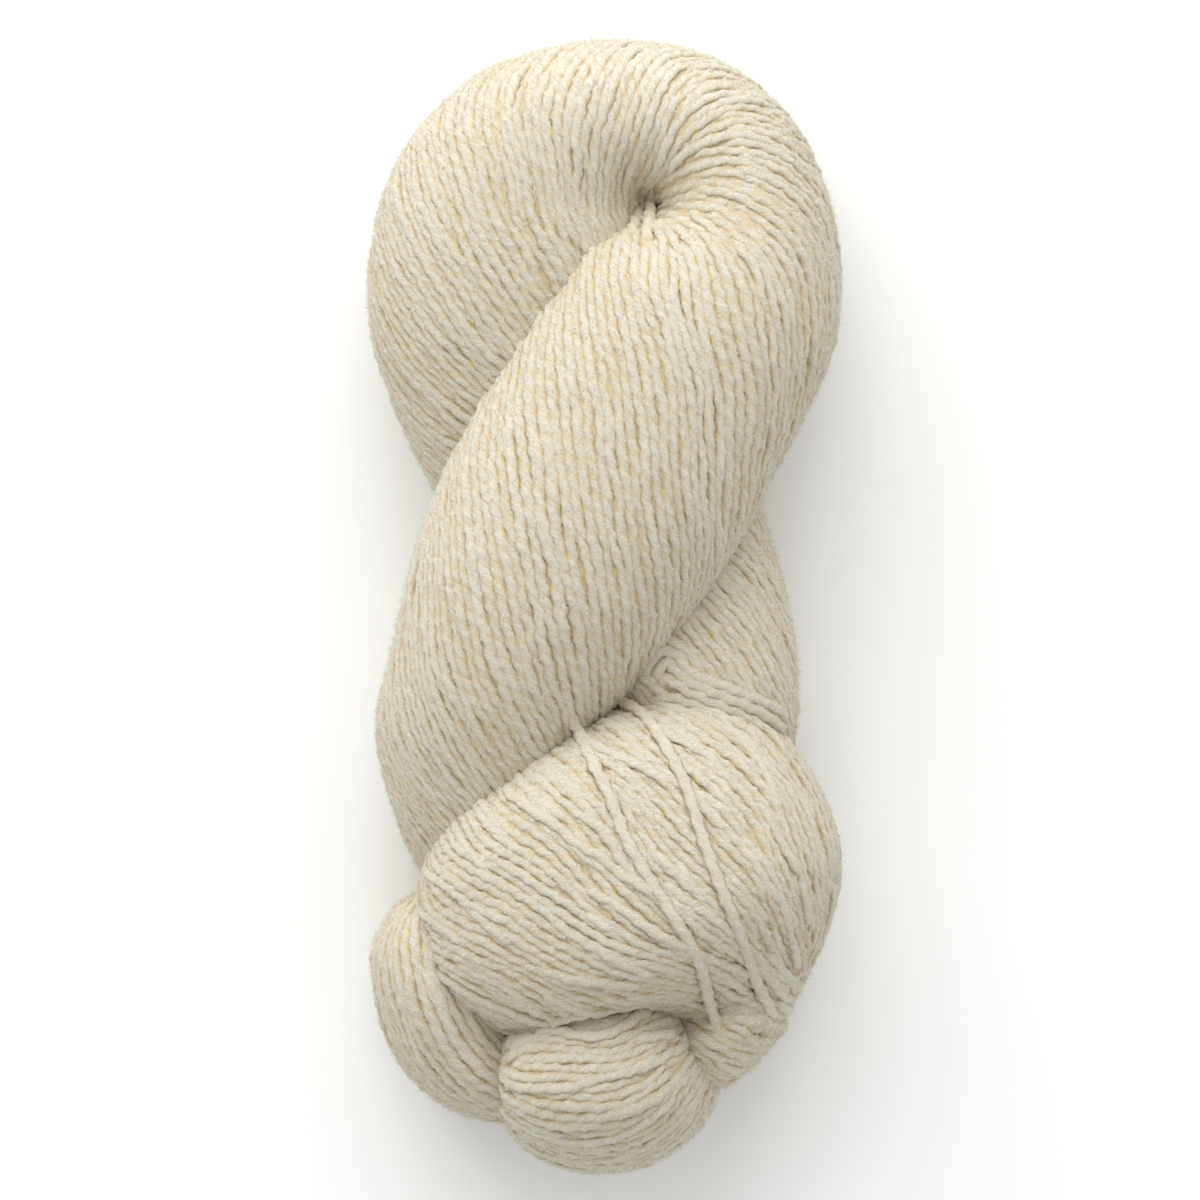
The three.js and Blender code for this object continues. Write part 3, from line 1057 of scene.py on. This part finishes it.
def on_object(tree):
    """Where each shaded point is on its object."""
    return put(tree, "ShaderNodeTexCoord").outputs["Object"]


def kept_value(tree, name, out="Fac"):
    """A value that the geometry keeps under a name."""
    return put(tree, "ShaderNodeAttribute", attribute_name=name).outputs[out]


def falling(tree, value, start, end, most):
    """A value that falls from the most to nothing between two places."""
    span = {"Value": value, "From Min": start, "From Max": end, "To Min": most, "To Max": 0.0}
    return put(tree, "ShaderNodeMapRange", span).outputs[0]


def wool_shade_group():
    """Undyed wool's colour with painted shade: pale where it stands out, painted a warm shade in the
    hollows, differing at random in patches and from strand to strand, speckled by its fibres.
    """
    tree, given, result = new_tree(
        "wool shade",
        "ShaderNodeTree",
        [
            ("Light wool", "NodeSocketColor", (1, 1, 1, 1)),
            ("Shade and patch wool", "NodeSocketColor", (1, 1, 1, 1)),
            # How far a point is painted with the warm shade of the hollows.
            ("Hollow", "NodeSocketFloat", 0.0),
            ("Strand", "NodeSocketFloat", 0.0),
            ("Fibres", "NodeSocketFloat", 0.5),
            ("Fibre contrast", "NodeSocketFloat", 0.75),
            ("Speckle", "NodeSocketFloat", 0.62),
            ("Speckle scale", "NodeSocketFloat", 1900.0),
            ("Patch scale", "NodeSocketFloat", 60.0),
        ],
        [("Colour", "NodeSocketColor")],
    )
    place = on_object(tree)
    patches = noise(tree, place, given["Patch scale"], detail=2.0)
    specks = noise(tree, place, given["Speckle scale"], detail=4.0, roughness=0.7)
    dice = put(tree, "ShaderNodeTexWhiteNoise", {"W": given["Strand"]}, noise_dimensions="1D")
    patches = about_zero(tree, patches, PATCHES_DIFFER)
    differs = about_zero(tree, dice.outputs["Value"], STRANDS_DIFFER)
    # Painted shade of the hollows, plus the random tone of patches and strands, mixes the light colour
    # towards the warm one.
    warm = number(tree, "ADD", given["Hollow"], number(tree, "ADD", patches, differs))
    warm = put(tree, "ShaderNodeClamp", {"Value": warm}).outputs[0]
    colours = {"Factor": warm, "A": given["Light wool"], "B": given["Shade and patch wool"]}
    mixed = put(tree, "ShaderNodeMix", colours, data_type="RGBA").outputs[2]
    specks = about_zero(tree, specks, given["Speckle"])
    streaks = about_zero(tree, given["Fibres"], given["Fibre contrast"])
    shade = number(tree, "ADD", 1.0, number(tree, "ADD", specks, streaks))
    tree.links.new(scaled(tree, mixed, shade), result.inputs[0])
    return tree


def new_material(name, roughness=1.0):
    """A plain, dull material: itself, its node tree and its shader."""
    material = bpy.data.materials.new(name)
    material.use_nodes = True
    shader = material.node_tree.nodes["Principled BSDF"]
    shader.inputs["Roughness"].default_value = roughness
    shader.inputs["Specular IOR Level"].default_value = 0.2
    return material, material.node_tree, shader


def colour_wool(tree, shader, shade, sockets):
    """Colours a material by the shared wool shade, with these values for its sockets."""
    colour = put(tree, "ShaderNodeGroup", sockets, node_tree=shade)
    tree.links.new(colour.outputs[0], shader.inputs["Base Color"])


def yarn_material(shade):
    """Soft two-ply wool: painted a warm shade where it lies low and in the groove between the plies, with
    fibres that follow the twist.
    """
    material, tree, shader = new_material("undyed two-ply wool")
    strand = kept_value(tree, "strand")
    across = put(tree, "ShaderNodeSeparateXYZ", {0: kept_value(tree, "section", "Vector")}).outputs
    # Painted shade: more of the hollow colour the lower a point lies on its strand, and on strands that are
    # lifted less.
    low = falling(tree, kept_value(tree, "height"), SHADE_FULL_BELOW, SHADE_GONE_ABOVE, 1.0)
    # Painted shade in the groove between the plies.
    groove_shade = falling(tree, number(tree, "ABSOLUTE", across[0]), 0.0, GROOVE_WIDTH, GROOVE_SHADE)
    along = product(tree, kept_value(tree, "along"), FIBRES_ALONG)
    run = number(tree, "ADD", along, product(tree, strand, FIBRES_BY_STRAND))
    fibre_place = put(tree, "ShaderNodeCombineXYZ", {0: across[0], 1: across[1], 2: run}).outputs[0]
    fibres = noise(tree, fibre_place, scale=4.0, detail=3.0, roughness=0.65)
    painted_shade = number(tree, "ADD", low, groove_shade)
    sockets = {"Hollow": painted_shade, "Strand": strand, "Fibres": fibres, **TOP_COLOURS}
    colour_wool(tree, shader, shade, sockets)
    tufts = noise(tree, on_object(tree), scale=1500.0, detail=4.0, roughness=0.75)
    nap = number(tree, "ADD", fibres, tufts)
    relief = {"Strength": 1.0, "Distance": NAP_DEPTH, "Height": nap}
    bump = put(tree, "ShaderNodeBump", relief).outputs[0]
    ways = {"Factor": SOFTNESS, "A": bump, "B": kept_value(tree, "out", "Vector")}
    softer = put(tree, "ShaderNodeMix", ways, data_type="VECTOR").outputs[1]
    tree.links.new(vector(tree, "NORMALIZE", softer), shader.inputs["Normal"])
    shader.inputs["Sheen Weight"].default_value = 0.15
    shader.inputs["Sheen Roughness"].default_value = 0.6
    shader.inputs["Sheen Tint"].default_value = (1.0, 0.96, 0.86, 1.0)
    return material


def fuzz_material(shade):
    """Loose wool fibres."""
    material, tree, shader = new_material("loose wool fibres")
    colour_wool(tree, shader, shade, {"Patch scale": 400.0, **FUZZ_COLOURS})
    return material


def underlayer_material(shade):
    """The wool seen between the strands, painted warmer and darker than they are as the shade in the gaps,
    with short soft ridges of its own.
    """
    material, tree, shader = new_material("wool under the top strands")
    # All of it is painted halfway towards the warm shade colour.
    colour_wool(tree, shader, shade, {"Hollow": 0.5, **UNDER_COLOURS})
    ridges = noise(tree, on_object(tree), scale=700.0, detail=2.0)
    relief = {"Strength": 0.7, "Distance": RIDGE_DEPTH, "Height": ridges}
    tree.links.new(put(tree, "ShaderNodeBump", relief).outputs[0], shader.inputs["Normal"])
    return material


def floor_material():
    """A nearly white surface."""
    material, tree, shader = new_material("pale floor", 0.9)
    specks = noise(tree, on_object(tree), scale=9.0, detail=1.0)
    greys = {"Factor": specks, "A": (0.93, 0.93, 0.93, 1), "B": (0.95, 0.95, 0.95, 1)}
    colour = put(tree, "ShaderNodeMix", greys, data_type="RGBA").outputs[2]
    tree.links.new(colour, shader.inputs["Base Color"])
    return material


# The camera, the light and the floor, in metres

# The camera looks straight down and sees this much of the height at which the hank's outline lies.
FIELD = 0.2656
OUTLINE_HEIGHT = 0.027
CAMERA_DISTANCE = 2.2
CAMERA_X, CAMERA_Y = -0.0009, 0.0014
SENSOR = 36.0
SKY_STRENGTH = 0.755
# The floor reaches this far each way.
FLOOR_REACH = 4.0


def make_camera():
    """The camera above the hank."""
    lens = bpy.data.cameras.new("above")
    lens.sensor_width = SENSOR
    lens.lens = SENSOR * CAMERA_DISTANCE / FIELD
    lens.clip_start, lens.clip_end = 0.1, 20
    camera = add_object("above", lens)
    camera.location = (CAMERA_X, CAMERA_Y, OUTLINE_HEIGHT + CAMERA_DISTANCE)
    bpy.context.scene.camera = camera


def add_area(name, place, aim, size, power, colour):
    """A lamp with a broad face, turned towards a point."""
    light = bpy.data.lights.new(name, "AREA")
    light.shape = "RECTANGLE"
    light.size, light.size_y = size
    light.energy = power
    light.color = colour
    lamp = add_object(name, light)
    lamp.location = place
    lamp.rotation_euler = (Vector(aim) - Vector(place)).to_track_quat("-Z", "Y").to_euler()


def make_studio():
    """An even white sky, and one broad lamp beyond the hank's fold."""
    world = bpy.data.worlds.new("studio")
    world.use_nodes = True
    sky = world.node_tree.nodes["Background"]
    sky.inputs["Color"].default_value = (1.0, 1.0, 1.0, 1)
    sky.inputs["Strength"].default_value = SKY_STRENGTH
    bpy.context.scene.world = world
    add_area(
        "key",
        place=(-0.25, 1.15, 0.82),
        aim=(0, 0.02, 0.02),
        size=(1.8, 1.3),
        power=22.0,
        colour=(1.0, 0.995, 0.98),
    )
    bpy.context.scene.view_settings.view_transform = "Standard"


def make_floor():
    """The surface that the hank lies on."""
    mesh = bpy.data.meshes.new("floor")
    ways = [(-1, -1), (1, -1), (1, 1), (-1, 1)]
    corners = [(x * FLOOR_REACH, y * FLOOR_REACH, 0) for x, y in ways]
    mesh.from_pydata(corners, [], [(0, 1, 2, 3)])
    mesh.materials.append(floor_material())
    floor = add_object("floor", mesh)


# The hank

# Each bundle: its table, the lay of its strands, whether its ends narrow, where its first strand
# starts (row and turn), how unevenly its strands lie, and by how many degrees their way wanders.
BUNDLES = [
    ("skein", SKEIN, SKEIN_LAY, (True, True), (21, 0.25), 1.2, 4.0),
    ("lower_lobe", LOWER_LOBE, LOBE_LAY, (False, False), (5, 0.25), 1.15, 5.0),
    ("loop_left", LOOP_LEFT, LOOP_LEFT_LAY, (False, False), (4, 0.25), 1.2, 4.0),
    ("end_knot", END_KNOT, END_KNOT_LAY, (False, False), (4, 0.25), 1.15, 5.0),
    ("loop_right", LOOP_RIGHT, LOOP_RIGHT_LAY, (False, False), (2, 0.25), 1.2, 4.0),
]
FIRST_SEED = 11
# How many rows the strands' way wanders over, on a bundle and for strays.
WANDER_ROWS = 4.0
WANDER_ROWS_STRAYS = 5.0
# Strand numbers lie between 0 and 1 and are spread by this much from one to the next.
NUMBER_SPREAD = 0.618034
NUMBER_SPREAD_LOOSE = 0.37

# Strays lie over the others: the bundle, how far apart, the angle they are turned by, and their lift.
STRAYS = [(1, 10.0, -6.0, 0.5), (1, 15.0, 7.0, 0.6), (3, 11.0, 7.0, 0.5), (2, 14.0, -6.0, 0.4)]
FIRST_STRAY_SEED = 31
# A stray shows in stretches, each with the least and the most: where the first starts, how long one is,
# how far it is to the next, and the share of the lift that it has.
STRAY_START = (0, 12)
STRAY_LENGTH = (18, 60)
STRAY_GAP = (6, 30)
STRAY_LIFT = (0.6, 1.2)
# No stretch starts nearer to the end than this or is shorter than this. All are this thick beside
# the other strands.
STRAY_LAST = 8
STRAY_SHORTEST = 10
STRAY_THICKNESS = 0.85

# Loose strands, given one by one: how high their middles lie over the wound surface, and their way in plan.
LOOSE_STRANDS = [
    (0.65, [(-8.5, -22), (-3.5, -32), (1.5, -42), (5.5, -52), (13.5, -65), (20, -76), (23, -86), (26, -95)]),
    (0.8, [(3, -20), (10, -26), (17, -38), (21, -50), (25.5, -62), (30, -73), (34, -84), (38.5, -94)]),
    (0.35, [
        (9.4, -18), (9.6, -13.5), (12.6, -9.8), (16.2, -10.8), (18.6, -14.2), (25.5, -17.2),
        (32.4, -20), (38.3, -23), (42.5, -28.5),
    ]),
    (0.45, [
        (10.8, -19), (11.9, -14.5), (14, -12.4), (16.2, -14.4), (18.6, -16.5), (25.5, -19.5),
        (32.4, -22.4), (38, -26), (42, -32),
    ]),
    (0.4, [
        (12, -20), (13.6, -16), (15.4, -16.6), (19, -18.8), (25.5, -21.8), (32, -25), (37, -29),
        (40.5, -35),
    ]),
    (0.2, [(9, -22), (13, -20), (18, -20.8), (25, -24), (31, -27.4), (36, -32.5)]),
    (0.3, [(10.6, 93.2), (10.5, 90.8), (10.4, 88.6), (10.2, 86), (9.6, 82), (8.6, 77)]),
    (0.1, [(8.0, 92.5), (8.3, 90), (8.0, 87.5), (7.0, 84.5), (5.2, 80)]),
    (0.5, [(-14, -92.5), (-10.4, -90.4), (-6, -88.9), (0.1, -88.3), (3.5, -89.3), (9, -91)]),
    (0.6, [
        (-17, -94), (-13.8, -93.3), (-10, -93.1), (-5.3, -94.1), (-0.5, -94.1), (4.2, -92.1),
        (7.5, -90), (12, -88.3),
    ]),
    (0.4, [(4, -96), (7.5, -94.8), (12.6, -94.1), (20.8, -93.8), (24, -94)]),
]
# How thick the loose strands are beside the others.
LOOSE_THICKNESS = 0.98
# A loose strand is laid in steps this long, and ends where the wool falls away more steeply than this.
FINE_STEP = 0.4
STEEPEST_FALL = 2.5
# Its heights and its ways out are smoothed, each step with so many on each side of it.
HEIGHT_SMOOTHING = 7
OUT_SMOOTHING = 9
# Its ends go down this far into the wool, over this length.
LOOSE_END_DEPTH = 2.2
LOOSE_END_LENGTH = 5.0
# A height over all of the wool, in metres.
ABOVE_ALL = 0.2

# Triangles to a step of a strand, and the most that a piece of yarn has.
TRIANGLES_PER_STEP = 2 * SECTION_CORNERS
MOST_TRIANGLES = 190000


def solid_skins():
    """The wound skins of the bundles, to tell which yarn lies inside another bundle."""
    whole = dict(depth=0.0, lowest=-50.0)
    rear = Bundle(SKEIN, SKEIN_LAY, 0, CROWN_ROW + END_ROWS, (True, True), **whole)
    front = Bundle(SKEIN, SKEIN_LAY, CROWN_ROW - END_ROWS, len(SKEIN) - 1, (True, True), **whole)
    skins = {"rear": tree_of(*rear.closed_mesh()), "front": tree_of(*front.closed_mesh())}
    for name, table, lay, narrow, *_ in BUNDLES[1:]:
        bundle = Bundle(table, lay, narrow=narrow, **whole)
        skins[name] = tree_of(*bundle.closed_mesh())
    return skins


def hidden_points(name, rows, line, skins):
    """Which points of a strand lie deep inside another bundle, or inside the skein's other half."""
    hidden = np.zeros(len(line), bool)
    for other, skin in skins.items():
        if other == name:
            continue
        asked = np.ones(len(line), bool)
        if name == "skein" and other == "front":
            asked = rows < CROWN_ROW - END_ROWS - 1
        if name == "skein" and other == "rear":
            asked = rows > CROWN_ROW + END_ROWS + 1
        asked &= ~hidden
        if asked.any():
            index = np.nonzero(asked)[0]
            hidden[index] = deep_inside(skin, line[index], HIDDEN_DEPTH)
    return hidden


def strands_of(bundle, seed, skins):
    """All the lines of yarn that show on one bundle."""
    name, table, lay, narrow, seed_at, loose, wander = bundle
    surface = Bundle(table, lay, narrow=narrow)
    surface.set_way(wander * soft_waves(surface.rows, surface.turns, seed, WANDER_ROWS))
    draw = np.random.default_rng(seed)
    laid = Laid(surface, STRAND_PITCH, CLOSEST).cover(*seed_at)
    strands = [Strand(surface, places) for places in laid]
    even_out(strands)
    lines = []
    for order, strand in enumerate(strands):
        line, out, thick, lift = drawn_strand(strand, draw, loose)
        share = (order * NUMBER_SPREAD) % 1.0
        for a, b in shown_runs(hidden_points(name, strand.rows, line, skins)):
            lines.append((line[a:b], out[a:b], thick[a:b], lift[a:b], share))
    return lines


def stray_lines(bundle, pitch, turned, lift, seed, skins):
    """Stretches of yarn that lie over the others, at a slightly different angle."""
    name, table, lay, narrow, seed_at, loose, wander = bundle
    surface = Bundle(table, lay, narrow=narrow)
    waves = soft_waves(surface.rows, surface.turns, seed, WANDER_ROWS_STRAYS)
    surface.set_way(turned + wander * waves)
    draw = np.random.default_rng(seed)
    lines = []
    for places in Laid(surface, pitch, CLOSEST_STRAYS).cover(*seed_at):
        start = int(draw.uniform(*STRAY_START) / STEP)
        while start < len(places) - STRAY_LAST / STEP:
            end = min(len(places), start + int(draw.uniform(*STRAY_LENGTH) / STEP))
            if (end - start) * STEP > STRAY_SHORTEST:
                part = Strand(surface, places[start:end])
                line, out, thick, raised = drawn_strand(part, draw, loose, lift * draw.uniform(*STRAY_LIFT))
                thick = thick * STRAY_THICKNESS
                for a, b in shown_runs(hidden_points(name, part.rows, line, skins)):
                    lines.append((line[a:b], out[a:b], thick[a:b], raised[a:b], draw.random()))
            start = end + int(draw.uniform(*STRAY_GAP) / STEP)
    return lines


def length_along(path):
    """How far it is along a path to each of its points."""
    return np.concatenate([[0], np.cumsum(np.linalg.norm(np.diff(path, axis=0), axis=1))])


def resampled(at, length, values):
    """The columns of values along a path at other places of it."""
    return np.stack([np.interp(at, length, column) for column in values.T], axis=1)


def resting_line(plan, wound):
    """A strand's line and its way out, over the wound surface along a way in plan, as stiff as yarn is."""
    path = through_rows(plan, np.arange(0, len(plan) - 1 + 1e-6, 0.02))
    steps = length_along(path)
    path = resampled(np.arange(0, steps[-1], FINE_STEP), steps, path)
    heights, outs = [], []
    for x, y in path:
        where, normal, _, _ = wound.ray_cast(Vector((x * MM, y * MM, ABOVE_ALL)), Vector((0, 0, -1)))
        heights.append(where.z / MM if where else 0.0)
        outs.append(tuple(normal) if where else (0, 0, 1))
    steepest = STEEPEST_FALL * FINE_STEP
    half = len(heights) // 2
    falls = [k for k in range(half, len(heights) - 1) if heights[k] - heights[k + 1] > steepest]
    shown = falls[0] + 1 if falls else len(heights)
    path, heights, outs = path[:shown], heights[:shown], np.array(outs[:shown])
    for k in range(1, len(heights)):
        heights[k] = max(heights[k], heights[k - 1] - steepest)
    for k in range(len(heights) - 2, -1, -1):
        heights[k] = max(heights[k], heights[k + 1] - steepest)
    heights = smoothed(np.maximum(np.array(heights), LOWEST_MIDDLE), HEIGHT_SMOOTHING)
    out = np.stack([smoothed(column, OUT_SMOOTHING) for column in outs.T], axis=1)
    line = np.concatenate([path, heights[:, None]], axis=1)
    length = length_along(line)
    even = np.linspace(0, length[-1], max(int(length[-1] / STEP), 4))
    return resampled(even, length, line), unit(resampled(even, length, out)), even


def loose_lines(wound):
    """The listed loose strands, which rest on the wound surface under them."""
    lines = []
    for order, (lift, plan) in enumerate(LOOSE_STRANDS):
        line, out, at = resting_line(plan, wound)
        from_end = np.minimum(at, at[-1] - at)
        raised = lift - (lift + LOOSE_END_DEPTH) * (1 - smooth_step(from_end / LOOSE_END_LENGTH))
        line = line + out * raised[:, None]
        line[:, 2] = np.maximum(line[:, 2], LOWEST_MIDDLE)
        thick = np.full(len(line), LOOSE_THICKNESS)
        lines.append((line, out, thick, raised, (order * NUMBER_SPREAD_LOOSE) % 1.0))
    return lines


def packed_by_size(lines):
    """Splits lines into lots, so that no piece of yarn has too many triangles."""
    lots, triangles = [[]], 0
    for line in lines:
        size = len(line[0]) * TRIANGLES_PER_STEP
        if triangles + size > MOST_TRIANGLES:
            lots.append([])
            triangles = 0
        lots[-1].append(line)
        triangles += size
    return lots


def dress(piece):
    """Every piece of yarn is part of the hank's one body, and the plain solid hank is hidden."""
    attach(piece, "root")
    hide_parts("hank")


def add_underlayer(material):
    """The wool under the top strands: a closed skin for each bundle, a little inside its strands."""
    points, faces = [], []
    for _, table, lay, narrow, *_ in BUNDLES:
        bundle = Bundle(table, lay, narrow=narrow, depth=UNDERLAYER_DEPTH, lowest=UNDERLAYER_LOWEST)
        bundle.points = bundle.points[::3, ::2]
        more, skin = bundle.closed_mesh()
        faces += [tuple(len(points) + k for k in face) for face in skin]
        points += list(more * MM)
    mesh = bpy.data.meshes.new("wound_wool")
    mesh.from_pydata([tuple(p) for p in points], [], faces)
    mesh.materials.append(material)
    mesh.polygons.foreach_set("use_smooth", np.ones(len(mesh.polygons), bool))
    dress(add_object("wound_wool", mesh))


def add_strands(skins, yarn, top_wool, fuzz, fuzz_wool):
    """Every bundle's strands, and the fuzz that stands on them."""
    for order, bundle in enumerate(BUNDLES):
        yarn_lines = strands_of(bundle, FIRST_SEED + order, skins)
        for lot, lines in enumerate(packed_by_size(yarn_lines)):
            piece = strands_piece(f"{bundle[0]}_yarn_{lot + 1}", lines, yarn, top_wool)
            dress(piece)
            name = piece.name.replace("yarn", "fuzz")
            dress(grown(name, piece.data.copy(), fuzz, seed=order * 10 + lot, wool=fuzz_wool))


def add_loose_strands(skins, yarn, top_wool):
    """The loose strands and the strays, which lie over the others."""
    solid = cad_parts["hank"].data
    corners = [vertex.co for vertex in solid.vertices]
    wound = BVHTree.FromPolygons(corners, [tuple(face.vertices) for face in solid.polygons])
    over = loose_lines(wound)
    for which, pitch, turned, lift in STRAYS:
        over += stray_lines(BUNDLES[which], pitch, turned, lift, FIRST_STRAY_SEED + which, skins)
    for lot, lines in enumerate(packed_by_size(over)):
        dress(strands_piece(f"loose_yarn_{lot + 1}", lines, yarn, top_wool))


def make_hank():
    """The whole hank: the wool under the strands, the strands with their fuzz, and those over them."""
    shade = wool_shade_group()
    yarn, fuzz = spun_yarn_tree(), wool_fuzz_tree()
    top_wool = yarn_material(shade)
    add_underlayer(underlayer_material(shade))
    skins = solid_skins()
    add_strands(skins, yarn, top_wool, fuzz, fuzz_material(shade))
    add_loose_strands(skins, yarn, top_wool)


make_camera()
make_studio()
make_floor()
make_hank()
